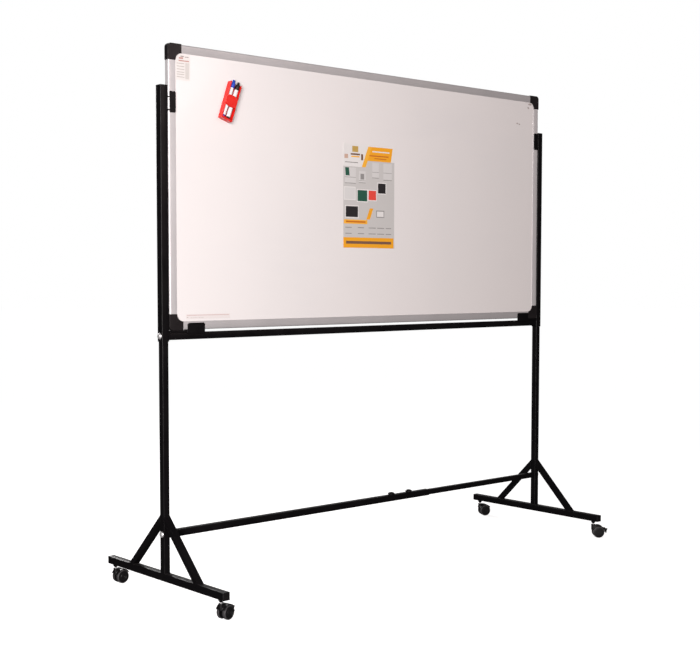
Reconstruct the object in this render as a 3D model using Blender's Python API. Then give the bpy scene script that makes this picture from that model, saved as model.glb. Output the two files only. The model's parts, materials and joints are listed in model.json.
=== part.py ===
"""Rolling whiteboard: a framed 2.0 x 1.0 m board on a height-adjustable steel stand.

Units are metres and +Z is up. X runs along the board, the writing side faces -Y, and the
origin is on the floor, midway between the two uprights. Each object is one physical piece.
"""
import math

import bmesh
import bpy
from mathutils import Matrix, Vector

GAP = 0.0003                       # clearance between two pieces that touch

# Board
BOARD_WIDTH = 2.0
BOARD_HEIGHT = 1.0
BOARD_BOTTOM = 0.966               # height of the frame's lower edge
FRONT_Y = -0.0155                  # front of the aluminium frame
RAIL_FACE = 0.030
RAIL_DEPTH = 0.020
RAIL_CROWN = 0.0014                # how far the face falls back at its inner edge
RAIL_NOSE = 0.0045                 # radius of the outer front edge
CROWN_STEPS = 5
RAIL_WALL = 0.0014
GROOVE_FLOOR = 0.0137              # distance from the outer edge to the panel's groove
GROOVE_FRONT = 0.0027
GROOVE_BACK = 0.0138
BACK_LIP = 0.022
SHEET_THICKNESS = 0.0006
CAP_LEG = 0.056
CAP_WRAP = 0.0018                  # how far the caps stand out past the rails' outer edges
CAP_PROUD = 0.0008                 # how far they stand out in front and behind
CAP_OUTER_RADIUS = 0.014
CAP_BEVEL = 0.0008

# Stand
UPRIGHT_X = 1.018
UPPER_SIZE = 0.030
UPPER_WALL = 0.0018
UPPER_BOTTOM = 0.926
UPPER_TOP = {"left": 1.821, "right": 1.805}
POST_SIZE = 0.0254
POST_TOP = 1.350
TUBE_WALL = 0.0015
TUBE_RADIUS = 0.0022
UPPER_BAR_BOTTOM = 0.9308
LOWER_BAR_BOTTOM = 0.2269
INNER_BAR_SIZE = 0.0216
OUTER_BAR_END = 0.309
INNER_BAR_START = 0.060
FOOT_LENGTH = 0.734
FOOT_SIZE = 0.028
FOOT_BOTTOM = 0.073
STRUT_PEAK = 0.320                 # where the struts' outer edges would meet on the post's axis
STRUT_SIZE = 0.020
STRUT_INSET = 0.0002               # the struts are this much narrower per side than the post
PLUG_FLANGE = 0.003
PLUG_CROWN = 0.0008                # chamfer round the flange
PLUG_SKIRT = 0.012
PLUG_LEAD = 0.003                  # tapered lead of the skirt
PLUG_TAPER = 0.001
PLUG_CLEARANCE = 0.0006

# Fittings
CLIP_PLATE = 0.002
SIDE_CLIP_HEIGHT = 0.074
SIDE_CLIP_TOP = 1.801
SIDE_CLIP_SLOT = (0.9960, 1.0035)  # open strip from the front lip to the upright, as distances from x = 0
SIDE_CLIP_TABS = ((0.0180, 0.0215), (0.0630, 0.0680))  # tabs across that strip, down from the clip's top
SIDE_CLIP_SETBACK = 0.0055         # between the tabs the web starts this far behind the rail's front
BOTTOM_CLIP_X = {"left": -0.889, "right": 0.905}
BOTTOM_CLIP_WIDTH = 0.075
BOTTOM_CLIP_TOP = 0.990
BOTTOM_CLIP_SKIRT = 0.004          # how far the front lip hangs below the crossbar's top
BOTTOM_CLIP_RECESS = 0.027         # the seat and the rear lip stop this far short of the front lip
SIDE_CLIP_SHORT = 0.001            # the side lips stop short of the rail's inner edge
CLIP_CORNER = 0.0035
BOLT_HEAD_RADIUS = 0.011
BOLT_HEAD_HEIGHT = 0.0075
BOLT_HEAD_RIM = 0.001
BOLT_RINGS = 4
BOLT_SHANK_RADIUS = 0.004
UPPER_BOLT_Z = 0.9450
LOWER_BOLT_Z = 0.2400
LOWER_BOLT_REACH = 0.012           # how far the lower bolt enters the crossbar
KNOB_X = (0.098, 0.199)
KNOB_RADIUS = 0.0145
KNOB_HEIGHT = 0.0068
KNOB_LOBES = 6
KNOB_LOBE_DEPTH = 0.035            # as a share of the radius
KNOB_COLLAR_RADIUS = 0.0075
KNOB_COLLAR_HEIGHT = 0.003
KNOB_SCREW_RADIUS = 0.003

# Casters, with the swivel axis at x = 0 and the wheels trailing towards +X
WHEEL_RADIUS = 0.025
WHEEL_INNER_Y = 0.0078
WHEEL_OUTER_Y = 0.0204
WHEEL_SHOULDER = 0.003
WHEEL_DOME = 0.0006
WHEEL_CHAMFER = 0.001
CASTER_TRAIL = 0.0215
CASTER_Y = 0.3355                  # swivel axes, from the middle of the foot
AXLE_RADIUS = 0.003
AXLE_END_Y = 0.0184
FENDER_RADIUS = 0.0293
FENDER_BORE = 0.0262
FENDER_START = math.radians(32)
FENDER_END = math.radians(154)
FENDER_SIDE_GAP = 0.0002
HUB_RADIUS = 0.011                 # hood's lower edge, round the axle
WEB_HALF_WIDTH = 0.0072
BOSS_RADIUS = 0.009
BOSS_BOTTOM = 0.034
BOSS_TOP = 0.0583
BRIDGE_HALF_WIDTH = 0.0086         # block that joins the boss to the fender's crown
BRIDGE_RUN = 0.004                 # how far the block runs on past the crown
STEM_RADIUS = 0.004
STEM_BOTTOM = 0.0420
STEM_TOP = 0.086
COLLAR_BOTTOM = 0.0628
COLLAR_RADIUS = 0.0095
COLLAR_CONE = 0.006
COLLAR_NARROW = 0.6                # radius at the foot of the cone, as a share
LEVER_ANGLE = math.radians(24)
LEVER_DISTANCE = 0.0312            # from the axle to the brake lever's pin
LEVER_HALF_WIDTH = 0.0065
LEVER_HUB = 0.0034
LEVER_PIN = 0.0012
SHOE_HALF_WIDTH = 0.0105           # the brake shoe reaches over both treads
EAR_RADIUS = 0.0056
EAR_THICKNESS = 0.003
EAR_GAP = 0.0005
# Side view of the brake pedal about its pin: (x, z) along the arm, the shoe and the toe tab
LEVER_ARM = ((0.0008, -0.0090), (0.0028, -0.0158), (0.0052, -0.0176), (0.0072, -0.0155), (0.0084, -0.0100))
LEVER_TAB = ((0.0102, -0.0045), (0.0128, 0.0002), (0.0123, 0.0019), (0.0085, 0.0003), (0.0045, 0.0012))
LEVER_SHOE = ((0.0012, -0.0104), (0.0028, -0.0158), (0.0052, -0.0176), (0.0072, -0.0155), (0.0082, -0.0110))
CASTER_TURN = {"left_front": 12, "left_rear": 2, "right_front": -41, "right_rear": -25}  # degrees

# Marker holder, in its own frame: X across, Z along its length, -Y away from the board
HOLDER_CENTRE = (-0.7410, 1.7852)
HOLDER_TILT = math.radians(19)
HOLDER_WIDTH = 0.048
HOLDER_LENGTH = 0.1415
HOLDER_DEPTH = 0.024
HOLDER_BACK = 0.004
HOLDER_WALL = 0.002
HOLDER_FLOOR = 0.0025
BAND_LOW = -0.017
BAND_HIGH = 0.018
BAND_CURVE = 0.0045
BAND_STEPS = 8
HOLDER_LIP = 0.004                 # low front lip above the floor
MARKER_LENGTH = 0.148
MARKER_RADIUS = 0.0075
MARKER_CAP_RADIUS = 0.0080
MARKER_CAP_LENGTH = 0.030
MARKER_X = (-0.0130, 0.0083)       # feet of the two markers, across the holder
MARKER_LEAN = math.radians(2.2)    # the markers lean a little in the wide pocket
MARKER_BACK_GAP = 0.0005

ROUND = 28
SMALL_ROUND = 14


# ---------------------------------------------------------------- helpers
def make_material(name, colour, roughness, metallic=0.0):
    """A Principled material of one colour."""
    material = bpy.data.materials.new(name)
    material.use_nodes = True
    shader = material.node_tree.nodes["Principled BSDF"]
    shader.inputs["Base Color"].default_value = (*colour, 1.0)
    shader.inputs["Roughness"].default_value = roughness
    shader.inputs["Metallic"].default_value = metallic
    return material


def make_object(name, bm, material, parent=None, matrix=None):
    """Turn a closed bmesh into a named object."""
    bmesh.ops.remove_doubles(bm, verts=bm.verts, dist=1e-7)
    bmesh.ops.recalc_face_normals(bm, faces=bm.faces)
    mesh = bpy.data.meshes.new(name)
    bm.to_mesh(mesh)
    bm.free()
    mesh.shade_smooth()
    mesh.set_sharp_from_angle(angle=math.radians(35))
    return place_mesh(name, mesh, material, parent, matrix)


def place_mesh(name, mesh, material, parent=None, matrix=None):
    """Put a mesh in the scene as its own object."""
    obj = bpy.data.objects.new(name, mesh)
    bpy.context.scene.collection.objects.link(obj)
    if not mesh.materials:
        mesh.materials.append(material)
    if parent:
        obj.parent = parent
    if matrix:
        obj.matrix_basis = matrix
    return obj


def make_empty(name, matrix):
    empty = bpy.data.objects.new(name, None)
    bpy.context.scene.collection.objects.link(empty)
    empty.matrix_basis = matrix
    return empty


def arc(cx, cy, radius, start, end, steps):
    """Points on an arc from one angle to another, both ends included."""
    angles = [start + (end - start) * i / steps for i in range(steps + 1)]
    return [(cx + radius * math.cos(a), cy + radius * math.sin(a)) for a in angles]


def rounded_square(size, radius, steps=3):
    """Outline of a centred square with rounded corners."""
    half = size / 2 - radius
    points = []
    for quarter, (sx, sy) in enumerate(((1, 1), (-1, 1), (-1, -1), (1, -1))):
        start = quarter * math.pi / 2
        points += arc(sx * half, sy * half, radius, start, start + math.pi / 2, steps)
    return points


def prism(loops, frame, start, end):
    """Extrude an outline and its holes along the third axis of a frame.

    The frame is (origin, u, v, w): each loop point (a, b) becomes origin + a*u + b*v.
    """
    origin, u, v, w = (Vector(item) for item in frame)
    bm = bmesh.new()
    end_edges = ([], [])
    for loop in loops:
        rings = []
        for side, height in enumerate((start, end)):
            ring = [bm.verts.new(origin + a * u + b * v + height * w) for a, b in loop]
            rings.append(ring)
            for i, vert in enumerate(ring):
                end_edges[side].append(bm.edges.new((vert, ring[(i + 1) % len(ring)])))
        for i in range(len(loop)):
            j = (i + 1) % len(loop)
            bm.faces.new((rings[0][i], rings[0][j], rings[1][j], rings[1][i]))
    for edges in end_edges:
        bmesh.ops.triangle_fill(bm, edges=edges, use_beauty=True)
    return bm


def turned(profile, segments=ROUND, wobble=None):
    """Turn an (r, z) profile about Z. Points with r = 0 close the two ends."""
    bm = bmesh.new()
    rings = []
    for radius, z in profile:
        if radius == 0:
            rings.append([bm.verts.new((0, 0, z))])
            continue
        ring = []
        for i in range(segments):
            angle = 2 * math.pi * i / segments
            r = radius * (wobble(angle, radius) if wobble else 1.0)
            ring.append(bm.verts.new((r * math.cos(angle), r * math.sin(angle), z)))
        rings.append(ring)
    for low, high in zip(rings, rings[1:]):
        for i in range(segments):
            j = (i + 1) % segments
            corners = [low[i % len(low)], low[j % len(low)], high[j % len(high)], high[i % len(high)]]
            bm.faces.new(list(dict.fromkeys(corners)))
    return bm


def cut(obj, bm, operation="DIFFERENCE", matrix=None):
    """Add a Boolean with its own hidden cutter, which shares the object's parent."""
    cutter = make_object(obj.name + "_cutter", bm, obj.data.materials[0], obj.parent, matrix)
    cutter.hide_render = True
    cutter.display_type = "WIRE"
    modifier = obj.modifiers.new(operation.lower(), "BOOLEAN")
    modifier.operation = operation
    modifier.object = cutter


def cylinder(radius, start, end, segments=ROUND):
    """A plain cylinder along Z."""
    return turned([(0, start), (radius, start), (radius, end), (0, end)], segments)


def along(axis, centre=(0, 0, 0)):
    """Matrix that turns +Z to the given axis and moves the origin to a centre."""
    turn = Vector((0, 0, 1)).rotation_difference(Vector(axis)).to_matrix().to_4x4()
    return Matrix.Translation(centre) @ turn


def boxes(spans):
    """Closed boxes, each from its ranges along X, Y and Z."""
    bm = bmesh.new()
    for ranges in spans:
        centre = [(low + high) / 2 for low, high in ranges]
        size = [high - low for low, high in ranges]
        bmesh.ops.create_cube(bm, size=1, matrix=Matrix.Translation(centre) @ Matrix.Diagonal((*size, 1)))
    return bm


def square_tube(size, wall):
    """Outline and bore of a square tube."""
    bore = size / 2 - wall
    return [rounded_square(size, TUBE_RADIUS), [(bore, bore), (-bore, bore), (-bore, -bore), (bore, -bore)]]


# ---------------------------------------------------------------- board
def rail_section():
    """Frame profile: a = distance in from the outer edge, b = depth from the front."""
    nose = arc(RAIL_NOSE, RAIL_NOSE, RAIL_NOSE, math.pi, 1.5 * math.pi, 4)
    crown = []
    for i in range(1, CROWN_STEPS + 1):
        share = i / CROWN_STEPS
        crown.append((RAIL_NOSE + share * (RAIL_FACE - RAIL_NOSE), RAIL_CROWN * share * share))
    groove = [(RAIL_FACE, GROOVE_FRONT), (GROOVE_FLOOR, GROOVE_FRONT), (GROOVE_FLOOR, GROOVE_BACK),
              (BACK_LIP, GROOVE_BACK), (BACK_LIP, GROOVE_BACK + RAIL_WALL),
              (GROOVE_FLOOR, GROOVE_BACK + RAIL_WALL), (GROOVE_FLOOR, RAIL_DEPTH), (0, RAIL_DEPTH)]
    inside = (RAIL_WALL, GROOVE_FLOOR - RAIL_WALL)
    front, back = RAIL_NOSE, RAIL_DEPTH - RAIL_WALL
    hollow = [(inside[0], front), (inside[1], front), (inside[1], back), (inside[0], back)]
    return [nose + crown + groove, hollow]


def build_rails(material):
    half_w, half_h = BOARD_WIDTH / 2, BOARD_HEIGHT / 2
    middle_z = BOARD_BOTTOM + half_h
    x_reach = half_w - CAP_LEG - GAP
    z_reach = half_h - CAP_LEG - GAP
    depth = (0, 1, 0)
    rails = {
        "rail_top": ((0, FRONT_Y, middle_z + half_h), (0, 0, -1), depth, (1, 0, 0), x_reach),
        "rail_bottom": ((0, FRONT_Y, BOARD_BOTTOM), (0, 0, 1), depth, (1, 0, 0), x_reach),
        "rail_left": ((-half_w, FRONT_Y, middle_z), (1, 0, 0), depth, (0, 0, 1), z_reach),
        "rail_right": ((half_w, FRONT_Y, middle_z), (-1, 0, 0), depth, (0, 0, 1), z_reach),
    }
    for name, (origin, inward, back, length_axis, reach) in rails.items():
        make_object(name, prism(rail_section(), (origin, inward, back, length_axis), -reach, reach), material)


def corner_outline():
    """Corner cap seen from the front: a and b are distances from the rails' outer edges."""
    centre = CAP_OUTER_RADIUS - CAP_WRAP
    outer = arc(centre, centre, CAP_OUTER_RADIUS, math.pi, 1.5 * math.pi, 6)
    inner = arc(CAP_LEG, CAP_LEG, CAP_LEG - RAIL_FACE, 1.5 * math.pi, math.pi, 8)
    return outer + [(CAP_LEG, -CAP_WRAP)] + inner + [(-CAP_WRAP, CAP_LEG)]


def build_corner_caps(material):
    half_w = BOARD_WIDTH / 2
    for row, z, up in (("bottom", BOARD_BOTTOM, 1), ("top", BOARD_BOTTOM + BOARD_HEIGHT, -1)):
        for side, x, inward in (("left", -half_w, 1), ("right", half_w, -1)):
            frame = ((x, FRONT_Y, z), (inward, 0, 0), (0, 0, up), (0, 1, 0))
            bm = prism([corner_outline()], frame, -CAP_PROUD, RAIL_DEPTH + CAP_PROUD)
            cap = make_object(f"corner_cap_{row}_{side}", bm, material)
            far = 2 * CAP_LEG
            slot = [(GROOVE_FLOOR, GROOVE_FLOOR), (far, GROOVE_FLOOR), (far, far), (GROOVE_FLOOR, far)]
            cut(cap, prism([slot], frame, GROOVE_FRONT, GROOVE_BACK))
            bevel = cap.modifiers.new("soft_edges", "BEVEL")
            bevel.width = CAP_BEVEL
            bevel.segments = 1
            bevel.limit_method = "ANGLE"
            bevel.angle_limit = math.radians(60)


def build_panel(sheet_material, core_material):
    """Steel writing sheet in front and backed core behind it, both held in the groove."""
    edge = GROOVE_FLOOR + GAP
    x = BOARD_WIDTH / 2 - edge
    low, high = BOARD_BOTTOM + edge, BOARD_BOTTOM + BOARD_HEIGHT - edge
    outline = [(-x, low), (x, low), (x, high), (-x, high)]
    frame = ((0, FRONT_Y, 0), (1, 0, 0), (0, 0, 1), (0, 1, 0))
    sheet_front = GROOVE_FRONT + GAP
    sheet_back = sheet_front + SHEET_THICKNESS
    make_object("writing_surface", prism([outline], frame, sheet_front, sheet_back), sheet_material)
    make_object("board_core", prism([outline], frame, sheet_back + GAP, GROOVE_BACK - GAP), core_material)


# ---------------------------------------------------------------- sliding upper frame
def vertical_tube(name, x, size, wall, bottom, top, material):
    frame = ((x, 0, 0), (1, 0, 0), (0, 1, 0), (0, 0, 1))
    return make_object(name, prism(square_tube(size, wall), frame, bottom, top), material)


def build_uprights(material, plug_material):
    for side, sign in (("left", -1), ("right", 1)):
        x = sign * UPRIGHT_X
        tube_top = UPPER_TOP[side] - PLUG_FLANGE - GAP
        tube = vertical_tube(f"upright_{side}", x, UPPER_SIZE, UPPER_WALL, UPPER_BOTTOM, tube_top, material)
        hole = cylinder(BOLT_SHANK_RADIUS + GAP, UPPER_SIZE / 2 - 2 * UPPER_WALL, UPPER_SIZE, SMALL_ROUND)
        cut(tube, hole, matrix=along((sign, 0, 0), (x, 0, UPPER_BOLT_Z)))
        skirt = UPPER_SIZE - 2 * (UPPER_WALL + PLUG_CLEARANCE)
        plug = square_plug(UPPER_SIZE, skirt)
        seat = Matrix.Translation((x, 0, tube_top + GAP))
        make_object(f"top_plug_{side}", plug, plug_material, matrix=seat)


def square_plug(size, skirt):
    """Push-in tube end: a crowned flange above z = 0 and a skirt below it."""
    bm = bmesh.new()
    levels = [(skirt - 2 * PLUG_TAPER, -PLUG_SKIRT), (skirt, PLUG_LEAD - PLUG_SKIRT), (skirt, 0), (size, 0),
              (size, PLUG_FLANGE - PLUG_CROWN), (size - 2 * PLUG_CROWN, PLUG_FLANGE)]
    rings = []
    for width, z in levels:
        rings.append([bm.verts.new((a, b, z)) for a, b in rounded_square(width, TUBE_RADIUS)])
    count = len(rings[0])
    for low, high in zip(rings, rings[1:]):
        for i in range(count):
            j = (i + 1) % count
            bm.faces.new((low[i], low[j], high[j], high[i]))
    bm.faces.new(rings[0])
    bm.faces.new(rings[-1])
    return bm


def horizontal_tube(name, size, wall, bottom, start, end, material):
    frame = ((0, 0, bottom + size / 2), (0, 1, 0), (0, 0, 1), (1, 0, 0))
    return make_object(name, prism(square_tube(size, wall), frame, start, end), material)


def build_upper_crossbar(material):
    reach = UPRIGHT_X - UPPER_SIZE / 2 - GAP
    horizontal_tube("upper_crossbar", POST_SIZE, TUBE_WALL, UPPER_BAR_BOTTOM, -reach, reach, material)


def round_lip_corners(bm, x_edge, front_y):
    """Round the free corners of a clip's front lip."""
    corners = []
    for edge in bm.edges:
        middle = (edge.verts[0].co + edge.verts[1].co) / 2
        runs_back = abs((edge.verts[0].co - edge.verts[1].co).normalized().y) > 0.99
        if runs_back and middle.y < front_y + CLIP_PLATE and abs(middle.x - x_edge) < 1e-5:
            corners.append(edge)
    bmesh.ops.bevel(bm, geom=corners, offset=CLIP_CORNER, segments=4, affect="EDGES")


def build_side_clips(material):
    """Channel over the board's side rail: web beside the upright, rear lip and a front lip on two tabs."""
    top = SIDE_CLIP_TOP
    levels = [top + CLIP_PLATE]
    for start, end in SIDE_CLIP_TABS:
        levels += [top - start, top - end]
    levels.append(top - SIDE_CLIP_HEIGHT - CLIP_PLATE)
    lip_front = FRONT_Y - GAP - CLIP_PLATE
    rear = FRONT_Y + RAIL_DEPTH + GAP
    outer = UPRIGHT_X - UPPER_SIZE / 2 - GAP
    web_inner = BOARD_WIDTH / 2 + GAP
    lip_end = BOARD_WIDTH / 2 - RAIL_FACE + SIDE_CLIP_SHORT
    outline = [(lip_end, lip_front), (outer, lip_front), (outer, rear + CLIP_PLATE),
               (lip_end, rear + CLIP_PLATE), (lip_end, rear), (web_inner, rear),
               (web_inner, FRONT_Y - GAP), (lip_end, FRONT_Y - GAP)]
    for side, sign in (("left", -1), ("right", 1)):
        frame = ((0, 0, 0), (sign, 0, 0), (0, 1, 0), (0, 0, 1))
        bm = prism([outline], frame, top - SIDE_CLIP_HEIGHT, top)
        round_lip_corners(bm, sign * lip_end, lip_front)
        clip = make_object(f"side_clip_{side}", bm, material)
        across = sorted(sign * x for x in SIDE_CLIP_SLOT)
        depth = (lip_front - CLIP_PLATE, FRONT_Y + SIDE_CLIP_SETBACK)
        cut(clip, boxes([(across, depth, span) for span in zip(levels[1::2], levels[::2])]))


def build_bottom_clips(material):
    """Front lip, rear lip and a seat on the crossbar that runs on under the corner cap to the upright."""
    bar_top = UPPER_BAR_BOTTOM + POST_SIZE + GAP
    seat_top = BOARD_BOTTOM - CAP_WRAP - GAP
    lip = (FRONT_Y - GAP - CLIP_PLATE, FRONT_Y - GAP)
    rear = (FRONT_Y + RAIL_DEPTH + GAP, FRONT_Y + RAIL_DEPTH + GAP + CLIP_PLATE)
    reach = UPRIGHT_X - UPPER_SIZE / 2 - GAP
    half = BOTTOM_CLIP_WIDTH / 2
    for side, x in BOTTOM_CLIP_X.items():
        sign = 1 if x > 0 else -1
        inner, outer = x - sign * (half - BOTTOM_CLIP_RECESS), x + sign * half
        bm = boxes([((x - half, x + half), lip, (bar_top - BOTTOM_CLIP_SKIRT, BOTTOM_CLIP_TOP))])
        corners = []
        for edge in bm.edges:
            low, high = edge.verts[0].co, edge.verts[1].co
            if min(low.z, high.z) > BOTTOM_CLIP_TOP - 1e-5 and abs(low.x - high.x) < 1e-6:
                corners.append(edge)
        bmesh.ops.bevel(bm, geom=corners, offset=CLIP_CORNER, segments=4, affect="EDGES")
        clip = make_object(f"bottom_clip_{side}", bm, material)
        middle_of_lip, middle_of_rear = sum(lip) / 2, sum(rear) / 2
        seat = (sorted((inner, sign * reach)), (middle_of_lip, middle_of_rear), (bar_top, seat_top))
        cut(clip, boxes([seat]), "UNION")
        back = (sorted((inner + sign * GAP, outer)), rear, (bar_top + CLIP_PLATE, BOTTOM_CLIP_TOP))
        cut(clip, boxes([back]), "UNION")


def dome_bolt(shank_length):
    """Carriage-type bolt along Z: the head's flat face is at z = 0 and the shank runs below it."""
    dome = []
    rise = BOLT_HEAD_HEIGHT - BOLT_HEAD_RIM
    for i in range(BOLT_RINGS):
        angle = math.pi / 2 * i / BOLT_RINGS
        dome.append((BOLT_HEAD_RADIUS * math.cos(angle), BOLT_HEAD_RIM + rise * math.sin(angle)))
    profile = [(0, -shank_length), (BOLT_SHANK_RADIUS, -shank_length), (BOLT_SHANK_RADIUS, 0),
               (BOLT_HEAD_RADIUS, 0)] + dome + [(0, BOLT_HEAD_HEIGHT)]
    return turned(profile, 20)


def build_bolts(material):
    """The upper bolt clamps on the sliding tube's outer wall; the lower one holds the crossbar."""
    upper_offset = UPPER_SIZE / 2 + GAP
    upper_shank = upper_offset - POST_SIZE / 2 - GAP
    lower_offset = POST_SIZE / 2 + GAP
    lower_shank = lower_offset + POST_SIZE / 2 + LOWER_BOLT_REACH
    for side, sign in (("left", -1), ("right", 1)):
        for row, offset, shank, z in (("upper", upper_offset, upper_shank, UPPER_BOLT_Z),
                                      ("lower", lower_offset, lower_shank, LOWER_BOLT_Z)):
            matrix = along((sign, 0, 0), (sign * (UPRIGHT_X + offset), 0, z))
            make_object(f"{row}_bolt_{side}", dome_bolt(shank), material, matrix=matrix)


# ---------------------------------------------------------------- base
def build_posts(material):
    bottom = FOOT_BOTTOM + FOOT_SIZE + GAP
    for side, sign in (("left", -1), ("right", 1)):
        x = sign * UPRIGHT_X
        post = vertical_tube(f"post_{side}", x, POST_SIZE, TUBE_WALL, bottom, POST_TOP, material)
        hole = cylinder(BOLT_SHANK_RADIUS + GAP, -POST_SIZE, POST_SIZE, SMALL_ROUND)
        cut(post, hole, matrix=along((sign, 0, 0), (x, 0, LOWER_BOLT_Z)))


def build_lower_crossbar(material):
    """Two tubes, one sliding in the other, which set the width of the stand."""
    reach = UPRIGHT_X - POST_SIZE / 2 - GAP
    outer = horizontal_tube("lower_crossbar_outer", POST_SIZE, TUBE_WALL, LOWER_BAR_BOTTOM,
                            -reach, OUTER_BAR_END, material)
    top = LOWER_BAR_BOTTOM + POST_SIZE
    for x in KNOB_X:
        hole = cylinder(KNOB_SCREW_RADIUS + GAP, -2 * TUBE_WALL, 2 * TUBE_WALL, SMALL_ROUND)
        cut(outer, hole, matrix=Matrix.Translation((x, 0, top)))
    inner_bottom = LOWER_BAR_BOTTOM + (POST_SIZE - INNER_BAR_SIZE) / 2
    horizontal_tube("lower_crossbar_inner", INNER_BAR_SIZE, TUBE_WALL, inner_bottom,
                    INNER_BAR_START, reach, material)


def build_feet(material, cap_material):
    tube_end = FOOT_LENGTH / 2 - PLUG_FLANGE - GAP
    for side, sign in (("left", -1), ("right", 1)):
        x = sign * UPRIGHT_X
        middle_z = FOOT_BOTTOM + FOOT_SIZE / 2
        frame = ((x, 0, middle_z), (1, 0, 0), (0, 0, 1), (0, 1, 0))
        tube = prism(square_tube(FOOT_SIZE, TUBE_WALL), frame, -tube_end, tube_end)
        foot = make_object(f"foot_{side}", tube, material)
        skirt = FOOT_SIZE - 2 * (TUBE_WALL + PLUG_CLEARANCE)
        for end, way in (("front", -1), ("rear", 1)):
            hole = cylinder(STEM_RADIUS + GAP, -2 * TUBE_WALL, 2 * TUBE_WALL, SMALL_ROUND)
            cut(foot, hole, matrix=Matrix.Translation((x, way * CASTER_Y, FOOT_BOTTOM)))
            matrix = along((0, way, 0), (x, way * (tube_end + GAP), middle_z))
            make_object(f"foot_cap_{side}_{end}", square_plug(FOOT_SIZE, skirt), cap_material, matrix=matrix)


def strut(x, way):
    """Slanted square tube from the foot's top to the post's face, open at both ends.

    A lengthwise edge whose outer line starts at the given peak lies at z = peak - |y|.
    """
    wall_y = POST_SIZE / 2 + GAP
    floor_z = FOOT_BOTTOM + FOOT_SIZE + GAP
    bm = bmesh.new()
    ends = ([], [])
    for inset in (0, TUBE_WALL):
        half = POST_SIZE / 2 - STRUT_INSET - inset
        drop = inset * math.sqrt(2)
        high = STRUT_PEAK - drop
        low = STRUT_PEAK - STRUT_SIZE * math.sqrt(2) + drop
        lines = ((-half, high), (half, high), (half, low), (-half, low))
        ends[0].append([bm.verts.new((x + dx, way * wall_y, peak - wall_y)) for dx, peak in lines])
        ends[1].append([bm.verts.new((x + dx, way * (peak - floor_z), floor_z)) for dx, peak in lines])
    for i in range(4):
        j = (i + 1) % 4
        for layer in (0, 1):
            top, foot = ends[0][layer], ends[1][layer]
            bm.faces.new((top[i], top[j], foot[j], foot[i]))
        for outer, inner in ends:
            bm.faces.new((outer[i], outer[j], inner[j], inner[i]))
    return bm


def build_struts(material):
    for side, sign in (("left", -1), ("right", 1)):
        for end, way in (("front", -1), ("rear", 1)):
            make_object(f"strut_{side}_{end}", strut(sign * UPRIGHT_X, way), material)


def knob_wobble(angle, radius):
    """Finger lobes on the grip only, not on the screw or the collar."""
    if radius <= KNOB_COLLAR_RADIUS:
        return 1.0
    return 1.0 + KNOB_LOBE_DEPTH * math.cos(KNOB_LOBES * angle)


def build_knobs(material):
    """Clamp knobs whose screws press on the inner tube of the lower crossbar."""
    tube_top = LOWER_BAR_BOTTOM + POST_SIZE
    inner_top = LOWER_BAR_BOTTOM + (POST_SIZE + INNER_BAR_SIZE) / 2
    tip = inner_top + GAP - tube_top
    collar_top = GAP + KNOB_COLLAR_HEIGHT
    top = collar_top + KNOB_HEIGHT
    profile = [(0, tip), (KNOB_SCREW_RADIUS, tip), (KNOB_SCREW_RADIUS, GAP), (KNOB_COLLAR_RADIUS, GAP),
               (KNOB_COLLAR_RADIUS, collar_top)]
    for share, height in ((0.90, 0.0), (1.0, 0.2), (1.0, 0.5), (0.93, 0.78), (0.75, 0.94)):
        profile.append((KNOB_RADIUS * share, collar_top + KNOB_HEIGHT * height))
    profile.append((0, top))
    for number, x in enumerate(KNOB_X, start=1):
        make_object(f"clamp_knob_{number}", turned(profile, 4 * KNOB_LOBES, knob_wobble), material,
                    matrix=Matrix.Translation((x, 0, tube_top)))


# ---------------------------------------------------------------- casters
def axle_point(radius, angle):
    """Point at a radius and angle about the wheel axle, seen from the side as (x, z)."""
    return (CASTER_TRAIL + radius * math.cos(angle), WHEEL_RADIUS + radius * math.sin(angle))


def hood_outline():
    """Side view of the hood: the fender's arc, closed below round the axle."""
    fender = arc(CASTER_TRAIL, WHEEL_RADIUS, FENDER_RADIUS, FENDER_START, FENDER_END, 14)
    below = arc(CASTER_TRAIL, WHEEL_RADIUS, HUB_RADIUS, math.radians(195), math.radians(375), 8)
    return fender + below


def side_prism(outline, half_width, offset=0.0):
    """Extrude a side view (x, z) across the caster."""
    frame = ((0, offset, 0), (1, 0, 0), (0, 0, 1), (0, 1, 0))
    return prism([outline], frame, -half_width, half_width)


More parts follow.
